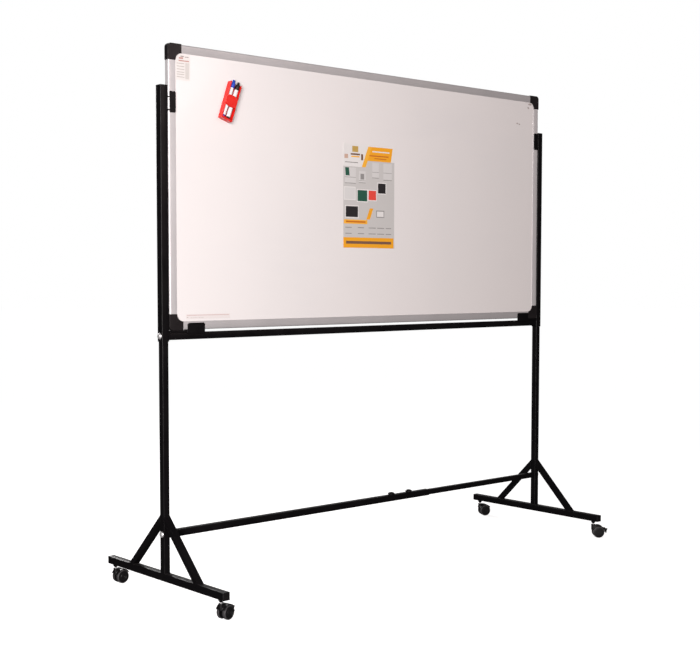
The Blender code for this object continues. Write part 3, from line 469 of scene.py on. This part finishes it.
def build_casters(plastic, wheel_plastic, tread, chrome, group):
    wheel, collar, pin = wheel_mesh(), collar_mesh(), pin_mesh()
    moulds = {}
    for tag in CASTERS:
        place = caster_matrix(tag)
        body = f"caster_{tag}"
        braked = tag.endswith("front")
        if braked not in moulds:
            hood = remeshed(f"hood_{len(moulds)}", f"{body}_hood", place.inverted(), 0.0006, 5, group)
            moulds[braked] = hood
        piece(f"{body}_shell", moulds[braked], [plastic], body, place, [f"{body}_hood"])
        for side, way in (("a", -1), ("b", 1)):
            node = f"{body}_wheel_{side}"
            centre = place @ along((0, way, 0), (WHEEL_TRAIL, 0, WHEEL_RADIUS))
            piece(f"{node}_detail", wheel, [wheel_plastic, tread], node, centre, [node])
        stem = Matrix.Translation(place.translation)
        piece(f"{body}_pin", pin, [chrome], "base", stem, [f"{body}_stem"])
        piece(f"{body}_collar", collar, [plastic], "base", stem)
        if braked:
            node = f"{body}_brake"
            if "pedal" not in moulds:
                moulds["pedal"] = remeshed("pedal", node, place.inverted(), 0.0004, 3, group)
            piece(f"{node}_detail", moulds["pedal"], [plastic], node, place, [node])


# ---------------------------------------------------------------- fittings
def bolt_mesh():
    """Domed bolt head on a thin washer face, about Z, with its underside at z = 0."""
    profile = [(0, 0, 0), (0.0108, 0, 0), (0.0110, 0.0003, 0), (0.0110, 0.0009, 0), (0.0107, 0.0012, 0)]
    for r, z in curve_points(0, 0.0012, 1.0, 2, 90, 12):
        profile.append((0.0105 * r if r > 1e-6 else 0, 0.0012 + (z - 0.0012) * 0.0063, 0))
    return to_mesh("bolt_head", turned(profile, 56))


def build_bolts(chrome):
    head = bolt_mesh()
    for row, body in (("upper", "upper_frame"), ("lower", "base")):
        for side, sign in (("left", -1), ("right", 1)):
            node = f"{row}_bolt_{side}"
            low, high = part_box(node)
            seat = (high.x if sign > 0 else low.x) - sign * BOLT_SEAT
            centre = (seat, (low.y + high.y) / 2, (low.z + high.z) / 2)
            piece(f"{node}_head", head, [chrome], body, along((sign, 0, 0), centre), [node])


def knob_mesh():
    """Low domed clamp knob with finger lobes round its skirt, about Z from the tube's top face."""
    def wobble(angle, radius, _):
        if radius < KNOB_ROUND_RADIUS:
            return 1.0
        return 1.0 + KNOB_LOBE_DEPTH * math.cos(KNOB_LOBES * angle)
    grip, collar = 0, 1
    profile = [(0, -0.0012, collar), (0.0030, -0.0012, collar), (0.0030, 0.0003, collar),
               (0.0073, 0.0003, collar), (0.0075, 0.0006, collar), (0.0075, 0.0010, collar),
               (0.0073, 0.0012, collar)]
    for r, z in ((0.0132, 0.0013), (0.0140, 0.0017), (0.0144, 0.0025), (0.0144, 0.0034), (0.0141, 0.0044),
                 (0.0135, 0.0055), (0.0126, 0.0068), (0.0114, 0.0080), (0.0100, 0.0090), (0.0084, 0.0096),
                 (0.0068, 0.0100), (0.0048, 0.0101), (0.0044, 0.0098), (0.0030, 0.0097), (0, 0.0097)):
        profile.append((r, z, grip))
    return to_mesh("clamp_knob", turned(profile, 96, wobble))


def build_knobs(plastic, collar_metal):
    knob = knob_mesh()
    for number in (1, 2):
        node = f"clamp_knob_{number}"
        centre = joint(f"{node}_turn")["pos_m"]
        place = Matrix.Translation(centre)
        piece(f"{node}_grip", knob, [plastic, collar_metal], node, place, [node])


def bead_mesh(name, path, radius, seed):
    """Weld bead: a closed ripple of metal along a path of points."""
    rng = random.Random(seed)
    bm = bmesh.new()
    rings = []
    sides = WELD_SIDES
    points = [Vector(point) for point in path]
    for i, point in enumerate(points):
        ahead, behind = points[(i + 1) % len(points)], points[i - 1]
        tangent = (ahead - behind).normalized()
        across = tangent.orthogonal().normalized()
        other = tangent.cross(across)
        swell = radius * (1 + 0.18 * math.sin(i * 2.1) + rng.uniform(-0.10, 0.10))
        ring = []
        for k in range(sides):
            angle = TAU * k / sides
            ring.append(bm.verts.new(point + swell * (across * math.cos(angle) + other * math.sin(angle))))
        rings.append(ring)
    for i, ring in enumerate(rings):
        follow = rings[(i + 1) % len(rings)]
        near = min(range(sides), key=lambda k: (follow[k].co - ring[0].co).length)
        for k in range(sides):
            j = (k + 1) % sides
            bm.faces.new((ring[k], ring[j], follow[(near + j) % sides], follow[(near + k) % sides]))
    return to_mesh(name, bm, math.radians(80))


def loop_points(corners, step):
    """Points along a closed loop of corners, about a step apart."""
    points = []
    for start, end in zip(corners, corners[1:] + corners[:1]):
        start, end = Vector(start), Vector(end)
        count = max(2, round((end - start).length / step))
        points += [start.lerp(end, i / count) for i in range(count)]
    return points


def build_welds(steel):
    """Painted weld beads round the joints of the welded tubes."""
    for side, sign in (("left", -1), ("right", 1)):
        low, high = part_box(f"post_{side}")
        corners = [(low.x, low.y, low.z), (high.x, low.y, low.z), (high.x, high.y, low.z),
                   (low.x, high.y, low.z)]
        mesh = bead_mesh(f"weld_post_{side}", loop_points(corners, WELD_STEP), WELD_RADIUS, 11)
        piece(f"weld_post_{side}", mesh, [steel], "base")
        bar_low, bar_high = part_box("upper_crossbar")
        x = sign * bar_high.x
        corners = [(x, bar_low.y, bar_low.z), (x, bar_high.y, bar_low.z), (x, bar_high.y, bar_high.z),
                   (x, bar_low.y, bar_high.z)]
        mesh = bead_mesh(f"weld_bar_{side}", loop_points(corners, WELD_STEP), BAR_WELD_RADIUS, 5)
        piece(f"weld_bar_{side}", mesh, [steel], "upper_frame")
        for end, way in (("front", -1), ("rear", 1)):
            s_low, s_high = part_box(f"strut_{side}_{end}")
            near = s_high.y if way < 0 else s_low.y
            far = s_low.y if way < 0 else s_high.y
            rise = STRUT_SIZE * math.sqrt(2)
            under, back = s_high.z - rise, far - way * rise
            top = [(s_low.x, near, s_high.z), (s_high.x, near, s_high.z), (s_high.x, near, under),
                   (s_low.x, near, under)]
            foot = [(s_low.x, far, s_low.z), (s_high.x, far, s_low.z), (s_high.x, back, s_low.z),
                    (s_low.x, back, s_low.z)]
            for row, corners in (("top", top), ("foot", foot)):
                name = f"weld_strut_{side}_{end}_{row}"
                mesh = bead_mesh(name, loop_points(corners, WELD_STEP), WELD_RADIUS, 3)
                piece(name, mesh, [steel], "base")


# ---------------------------------------------------------------- marker holder
def marker_mesh():
    """Whiteboard marker about Z: end plug, barrel with a step, cap with grip ribs and a stub."""
    barrel, plug, cap = 0, 1, 2
    profile = [(0, 0, plug), (0.0058, 0, plug), (0.0064, 0.0006, plug), (0.0064, 0.0122, plug),
               (0.0070, 0.0126, plug), (0.0074, 0.0136, barrel), (0.0075, 0.0149, barrel),
               (0.0075, 0.1090, barrel), (0.0071, 0.1100, barrel), (0.0071, 0.1178, barrel),
               (0.0077, 0.1182, cap), (0.0080, 0.1188, cap),
               (0.0080, 0.1215, cap), (0.0077, 0.1220, cap), (0.0077, 0.1226, cap), (0.0080, 0.1231, cap),
               (0.0078, 0.1370, cap), (0.0074, 0.1384, cap), (0.0060, 0.1398, cap), (0.0056, 0.1404, cap),
               (0.0053, 0.1466, cap), (0.0048, 0.1477, cap), (0.0036, 0.1480, cap), (0, 0.1480, cap)]

    def ribs(angle, _, z):
        return 1.0 + (0.018 * math.cos(24 * angle) if 0.1230 < z < 0.1375 else 0.0)
    return to_mesh("marker", turned(profile, 96, ribs))


def build_markers(barrel, colours):
    mesh = marker_mesh()
    for node, (plug, cap) in colours.items():
        axis = Vector(joint(f"{node}_slide")["axis"]).normalized()
        points = [vert.co for vert in NODES[node].data.vertices]
        lowest = min(point.dot(axis) for point in points)
        foot = [point for point in points if point.dot(axis) < lowest + 1e-4]
        centre = sum(foot, Vector()) / len(foot)
        piece(f"{node}_pen", mesh.copy(), [barrel, plug, cap], node, along(axis, centre), [node])


# ---------------------------------------------------------------- paper and labels
def print_paint(name, paper, blocks, roughness=0.45):
    """Printed paper: blocks are (left, bottom, right, top, slant, colour) in metres on the sheet."""
    paint = Paint(name, paper, roughness, specular=0.4)
    fibres = paint.noise(900.0, 4.0, 0.6)
    darker = tuple(value * 0.95 for value in paper)
    colour = paint.mix(paint.spread(fibres, 0.3, 0.7, 0.0, 0.5), paper, darker)
    split = paint.add("ShaderNodeSeparateXYZ", {0: paint.coords})
    x, z = split.outputs["X"], split.outputs["Z"]
    for left, bottom, right, top, slant, ink in blocks:
        across = paint.math("SUBTRACT", x, paint.math("MULTIPLY", paint.math("SUBTRACT", z, bottom), slant))
        mask = paint.math("COMPARE", across, (left + right) / 2)
        mask.node.inputs[2].default_value = (right - left) / 2
        height = paint.math("COMPARE", z, (bottom + top) / 2)
        height.node.inputs[2].default_value = (top - bottom) / 2
        colour = paint.mix(paint.math("MULTIPLY", mask, height), colour, ink)
    paint.set("Base Color", colour)
    paint.set("Roughness", paint.spread(fibres, 0.3, 0.7, roughness - 0.06, roughness + 0.06))
    paint.set("Normal", paint.bump(fibres, 0.05, 0.0001))
    return paint.material


def sheet_mesh(name, width, height, thickness, curl, steps=(28, 40)):
    """Thin sheet in its own XZ plane with its lower left corner at the origin and its corners curled."""
    bm = bmesh.new()
    layers = []
    for offset in (0.0, -thickness):
        rows = []
        for j in range(steps[1] + 1):
            row = []
            for i in range(steps[0] + 1):
                u, v = i / steps[0], j / steps[1]
                lift = curl * (abs(2 * u - 1) ** 5) * (abs(2 * v - 1) ** 6)
                lift += 0.25 * curl * (0.5 + 0.5 * noise.noise(Vector((u * 2.3, v * 3.1, 4.0))))
                row.append(bm.verts.new((u * width, offset - lift, v * height)))
            rows.append(row)
        layers.append(rows)
    back, front = layers
    for j in range(steps[1]):
        for i in range(steps[0]):
            for rows in layers:
                bm.faces.new((rows[j][i], rows[j][i + 1], rows[j + 1][i + 1], rows[j + 1][i]))
    rim = [(0, i) for i in range(steps[0])] + [(j, steps[0]) for j in range(steps[1])]
    rim += [(steps[1], i) for i in range(steps[0], 0, -1)] + [(j, 0) for j in range(steps[1], 0, -1)]
    for (j, i), (l, k) in zip(rim, rim[1:] + rim[:1]):
        bm.faces.new((back[j][i], back[l][k], front[l][k], front[j][i]))
    return to_mesh(name, bm, math.radians(60))


def leaflet_blocks():
    """Generic colour blocks of a printed leaflet, with no lettering."""
    w, h = LEAFLET_WIDTH, LEAFLET_HEIGHT
    orange, amber = (0.92, 0.40, 0.022), (0.95, 0.47, 0.05)
    white, grey, line = (0.80, 0.78, 0.77), (0.60, 0.585, 0.575), (0.30, 0.29, 0.285)
    green, black, red = (0.022, 0.10, 0.065), (0.022, 0.020, 0.022), (0.80, 0.075, 0.055)
    brown, rust = (0.20, 0.11, 0.07), (0.62, 0.17, 0.02)

    def block(u0, v0, u1, v1, colour, slant=0.0):
        """u runs right and v runs down, both from 0 to 1 over the sheet."""
        return (u0 * w, (1 - v1) * h, u1 * w, (1 - v0) * h, slant, colour)
    blocks = [block(0.0, 0.215, 1.0, 1.0, grey), block(0.42, 0.15, 1.0, 0.22, grey, 0.45)]
    blocks += [block(0.46, 0.012, 0.93, 0.150, orange, 0.16), block(0.355, 0.012, 0.43, 0.215, amber, 0.42)]
    blocks += [block(0.56, 0.050, 0.90, 0.062, white, 0.2), block(0.50, 0.092, 0.88, 0.104, rust, 0.2),
               block(0.60, 0.118, 0.84, 0.128, rust, 0.2)]
    blocks += [block(0.17, 0.018, 0.285, 0.075, (0.55, 0.36, 0.10)), block(0.14, 0.088, 0.32, 0.104, brown),
               block(0.15, 0.112, 0.31, 0.124, amber), block(0.34, 0.09, 0.38, 0.15, brown),
               block(0.03, 0.172, 0.28, 0.180, line), block(0.02, 0.10, 0.09, 0.14, (0.62, 0.42, 0.33))]
    for left, top, right, bottom in ((0.03, 0.228, 0.24, 0.380), (0.56, 0.165, 0.69, 0.315),
                                     (0.78, 0.165, 0.95, 0.330), (0.30, 0.255, 0.43, 0.370)):
        blocks.append(block(left, top, right, bottom, (0.68, 0.665, 0.66)))
        blocks.append(block(left, bottom - 0.006, right, bottom, line))
        blocks.append(block(left, top + 0.09, right, top + 0.094, line))
    blocks += [block(0.045, 0.228, 0.12, 0.305, green, -0.1), block(0.33, 0.28, 0.40, 0.335, line)]
    pictures = ((0.26, 0.430, 0.475, 0.555, green), (0.475, 0.430, 0.650, 0.540, red),
                (0.66, 0.355, 0.84, 0.470, black), (0.035, 0.590, 0.295, 0.712, black),
                (0.01, 0.410, 0.235, 0.540, (0.70, 0.69, 0.685)), (0.64, 0.630, 0.800, 0.700, white))
    for left, top, right, bottom, ink in pictures:
        blocks.append(block(left, top, right, bottom, white if ink != white else line))
        inset_u, inset_v = 0.014, 0.009
        blocks.append(block(left + inset_u, top + inset_v, right - inset_u, bottom - inset_v, ink))
    blocks += [block(0.445, 0.612, 0.515, 0.722, orange, 0.42), block(0.01, 0.728, 0.465, 0.768, amber),
               block(0.05, 0.740, 0.43, 0.756, rust)]
    for v in (0.800, 0.858):
        for left, right in ((0.04, 0.16), (0.28, 0.40), (0.49, 0.63), (0.66, 0.80), (0.83, 0.94)):
            blocks.append(block(left, v, right, v + 0.008, line))
    blocks += [block(0.0, 0.900, 0.985, 1.0, orange), block(0.05, 0.935, 0.94, 0.962, brown)]
    return blocks


def label_blocks():
    """Plain lines and bars of the corner label."""
    rose, dark, shade = (0.52, 0.28, 0.25), (0.22, 0.18, 0.17), (0.66, 0.625, 0.60)
    blocks = []
    for z in (0.010, 0.019, 0.027, 0.037, 0.047, 0.057):
        blocks.append((0.004, z, 0.036, z + 0.0022, 0.0, FAINT_INK))
    blocks += [(0.040, 0.006, 0.056, 0.062, 0.0, shade), (0.012, 0.066, 0.056, 0.070, 0.0, rose),
               (0.012, 0.074, 0.030, 0.080, 0.4, rose), (0.020, 0.082, 0.034, 0.085, 0.0, dark),
               (0.038, 0.081, 0.054, 0.083, 0.0, dark)]
    return blocks


def strip_blocks():
    """A plain line and a row of short dashes for the edge strip."""
    blocks = [(0.004, 0.0125, 0.190, 0.0145, 0.0, (0.62, 0.45, 0.44)),
              (0.004, 0.005, 0.010, 0.0075, 0.0, FAINT_INK)]
    for x in (0.022, 0.030, 0.038, 0.046, 0.056, 0.064, 0.072):
        blocks.append((x, 0.0042, x + 0.004, 0.0060, 0.0, FAINT_INK))
    return blocks


def on_sheet(x, z):
    """Matrix that puts a thin piece on the writing sheet."""
    return Matrix.Translation((x, SHEET_FRONT - PAPER_LIFT, z))


def build_paper():
    ink = print_paint("leaflet_print", (0.82, 0.80, 0.79), leaflet_blocks())
    mesh = sheet_mesh("leaflet", LEAFLET_WIDTH, LEAFLET_HEIGHT, 0.00025, 0.0016)
    piece("leaflet", mesh, [ink], "upper_frame", on_sheet(LEAFLET_LEFT, LEAFLET_BOTTOM))
    ink = print_paint("label_print", (0.80, 0.765, 0.745), label_blocks(), 0.3)
    mesh = sheet_mesh("corner_label", *LABEL_SIZE, 0.00012, 0.0002, (6, 8))
    piece("corner_label", mesh, [ink], "upper_frame", on_sheet(*LABEL_PLACE))
    ink = print_paint("strip_print", (0.80, 0.745, 0.735), strip_blocks(), 0.3)
    mesh = sheet_mesh("edge_strip", *STRIP_SIZE, 0.00012, 0.0001, (12, 2))
    piece("edge_strip", mesh, [ink], "upper_frame", on_sheet(*STRIP_PLACE))


def smudge_mesh(seed, width, height):
    """Flat smudge with a ragged outline, centred in its own XZ plane."""
    rng = random.Random(seed)
    bm = bmesh.new()
    outline = []
    for i in range(SMUDGE_POINTS):
        angle = TAU * i / SMUDGE_POINTS
        reach = rng.uniform(0.45, 1.0)
        outline.append((reach * width / 2 * math.cos(angle), reach * height / 2 * math.sin(angle)))
    back = [bm.verts.new((x, 0.0, z)) for x, z in outline]
    front = [bm.verts.new((x, -0.0001, z)) for x, z in outline]
    bm.faces.new(back)
    bm.faces.new(front)
    for i in range(SMUDGE_POINTS):
        j = (i + 1) % SMUDGE_POINTS
        bm.faces.new((back[i], back[j], front[j], front[i]))
    return to_mesh(f"smudge_{seed}", bm)


def build_smudges():
    """Faint wiped ink near the sheet's upper right corner."""
    ink = moulded_plastic("smudge_ink", (0.40, 0.355, 0.34), (0.56, 0.50, 0.48), 0.40, 900.0, 0.3)
    for seed, x, z, width, height in ((3, 0.946, 1.928, 0.034, 0.013), (4, 0.934, 1.911, 0.020, 0.010),
                                      (5, 0.859, 1.836, 0.018, 0.008), (6, 0.873, 1.834, 0.014, 0.009)):
        mesh = smudge_mesh(seed, width, height)
        piece(f"smudge_{seed}", mesh, [ink], "upper_frame", on_sheet(x, z))


# ---------------------------------------------------------------- camera, light and floor
def build_camera(scene):
    camera = bpy.data.cameras.new("camera")
    camera.lens = CAMERA_LENS
    camera.shift_x, camera.shift_y = CAMERA_SHIFT
    view = bpy.data.objects.new("camera", camera)
    view.location = CAMERA_LOCATION
    view.rotation_euler = CAMERA_TURN
    scene.collection.objects.link(view)
    scene.camera = view


def build_world(scene):
    """A white backdrop for the camera that gives only a little light."""
    world = bpy.data.worlds.new("studio")
    world.use_nodes = True
    scene.world = world
    tree = world.node_tree
    fill = tree.nodes["Background"]
    fill.inputs["Color"].default_value = (1.0, 0.985, 0.985, 1.0)
    fill.inputs["Strength"].default_value = WORLD_LIGHT
    seen = tree.nodes.new("ShaderNodeBackground")
    seen.inputs["Color"].default_value = (1.0, 1.0, 1.0, 1.0)
    choose = tree.nodes.new("ShaderNodeMixShader")
    path = tree.nodes.new("ShaderNodeLightPath")
    tree.links.new(path.outputs["Is Camera Ray"], choose.inputs[0])
    tree.links.new(fill.outputs[0], choose.inputs[1])
    tree.links.new(seen.outputs[0], choose.inputs[2])
    tree.links.new(choose.outputs[0], tree.nodes["World Output"].inputs["Surface"])


def build_floor(scene):
    """A pale floor that fades into the white backdrop and lights nothing."""
    bm = bmesh.new()
    bmesh.ops.create_circle(bm, cap_ends=True, radius=FLOOR_RADIUS, segments=64)
    mesh = bpy.data.meshes.new("floor")
    bm.to_mesh(mesh)
    bm.free()
    floor = bpy.data.objects.new("floor", mesh)
    scene.collection.objects.link(floor)
    floor.visible_diffuse = False
    floor.visible_glossy = False
    pale, black = (0.90, 0.90, 0.90), (0.0, 0.0, 0.0)
    paint = Paint("floor_paint", pale, 0.7, specular=0.2)
    distance = paint.add("ShaderNodeVectorMath", {0: paint.coords}, operation="LENGTH").outputs["Value"]
    glow = paint.spread(distance, *FLOOR_FADE, 0.72, 1.0)
    paint.set("Base Color", paint.mix(paint.spread(distance, *FLOOR_FADE), pale, black))
    paint.shader.inputs["Emission Color"].default_value = (1.0, 1.0, 1.0, 1.0)
    paint.set("Emission Strength", glow)
    mesh.materials.append(paint.material)


def build_stage():
    scene = bpy.context.scene
    scene.view_settings.view_transform = "Standard"
    build_camera(scene)
    build_world(scene)
    build_floor(scene)
    for lamp in LAMPS:
        add_area(*lamp)


def add_area(name, location, target, size, power, colour):
    light = bpy.data.lights.new(name, "AREA")
    light.shape = "DISK"
    light.size = size
    light.energy = power
    light.color = colour
    lamp = bpy.data.objects.new(name, light)
    lamp.location = location
    lamp.rotation_euler = (Vector(target) - Vector(location)).to_track_quat("-Z", "Y").to_euler()
    lamp.visible_camera = False
    bpy.context.scene.collection.objects.link(lamp)


# ---------------------------------------------------------------- assembly
def dress_nodes(group, steel, cap_plastic, plug_plastic, painted_light_aluminium, enamel, backing, red):
    """Materials and soft edges for the CAD nodes that stay in view."""
    for name in NODES:
        if name.startswith(STEEL_NODES):
            finish_node(name, steel, group)
        elif name.startswith(("side_clip", "bottom_clip")):
            finish_node(name, steel, group, 0.0004)
        elif name.startswith("corner_cap"):
            finish_node(name, cap_plastic, group, 0.0008)
        elif name.startswith(("top_plug", "foot_cap")):
            finish_node(name, plug_plastic, group)
        # Horizontal rails take the darker aluminium copy (painted shade), vertical rails the lighter copy
        # (painted highlight from the key light).
        elif name in ("rail_top", "rail_bottom"):
            finish_node(name, painted_light_aluminium["X"], group)
        elif name in ("rail_left", "rail_right"):
            finish_node(name, painted_light_aluminium["Z"], group)
    finish_node("writing_surface", enamel, group)
    finish_node("board_core", backing, group)
    finish_node("marker_holder", red, group, 0.0006)


def main():
    group = smooth_group()
    steel = powder_coat()
    plastic = moulded_plastic
    cap_plastic = plastic("cap_plastic", (0.0085, 0.0066, 0.0074), (0.0140, 0.0112, 0.0120), 0.44)
    plug_plastic = plastic("plug_plastic", (0.0046, 0.0038, 0.0042), (0.0078, 0.0066, 0.0070), 0.50,
                           specular=0.25)
    knob_plastic = plastic("knob_plastic", (0.0036, 0.0032, 0.0036), (0.0062, 0.0056, 0.0060), 0.46,
                           specular=0.22)
    caster_plastic = plastic("caster_plastic", (0.0040, 0.0036, 0.0040), (0.0075, 0.0068, 0.0074), 0.34)
    wheel_plastic = plastic("wheel_plastic", (0.0045, 0.0040, 0.0045), (0.0085, 0.0078, 0.0084), 0.40)
    tread = plastic("wheel_tread", (0.042, 0.040, 0.042), (0.062, 0.059, 0.062), 0.60, 1400.0)
    # One aluminium in two tones: 0.60 for the horizontal rails as painted shade, 0.78 for the vertical rails
    # as painted light from the key.
    painted_light_aluminium = {axis: brushed_aluminium(f"aluminium_{axis}", axis, tone)
              for axis, tone in (("X", 0.60), ("Z", 0.78))}
    chrome = bright_metal("chrome", (0.84, 0.83, 0.84), 0.30, 0.7)
    zinc = bright_metal("zinc_collar", (0.16, 0.16, 0.17), 0.34)
    red = plastic("red_plastic", (0.70, 0.011, 0.008), (0.78, 0.018, 0.012), 0.30, 1600.0, 0.4)
    white_barrel = plastic("marker_barrel", (0.80, 0.79, 0.80), (0.86, 0.85, 0.86), 0.28, 1800.0, 0.5)
    blue = plastic("marker_blue_cap", (0.015, 0.045, 0.42), (0.020, 0.075, 0.50), 0.30, 1800.0, 0.5)
    ink_black = plastic("marker_black_cap", (0.010, 0.009, 0.010), (0.018, 0.016, 0.018), 0.32, 1800.0)
    purple = plastic("marker_plug", (0.10, 0.020, 0.22), (0.14, 0.030, 0.28), 0.34, 1800.0)

    dress_nodes(group, steel, cap_plastic, plug_plastic, painted_light_aluminium, white_enamel(), galvanised(), red)
    build_casters(caster_plastic, wheel_plastic, tread, chrome, group)
    build_bolts(chrome)
    build_knobs(knob_plastic, zinc)
    build_welds(steel)
    build_markers(white_barrel, {"marker_blue": (purple, blue), "marker_black": (ink_black, ink_black)})
    build_paper()
    build_smudges()
    build_stage()


main()
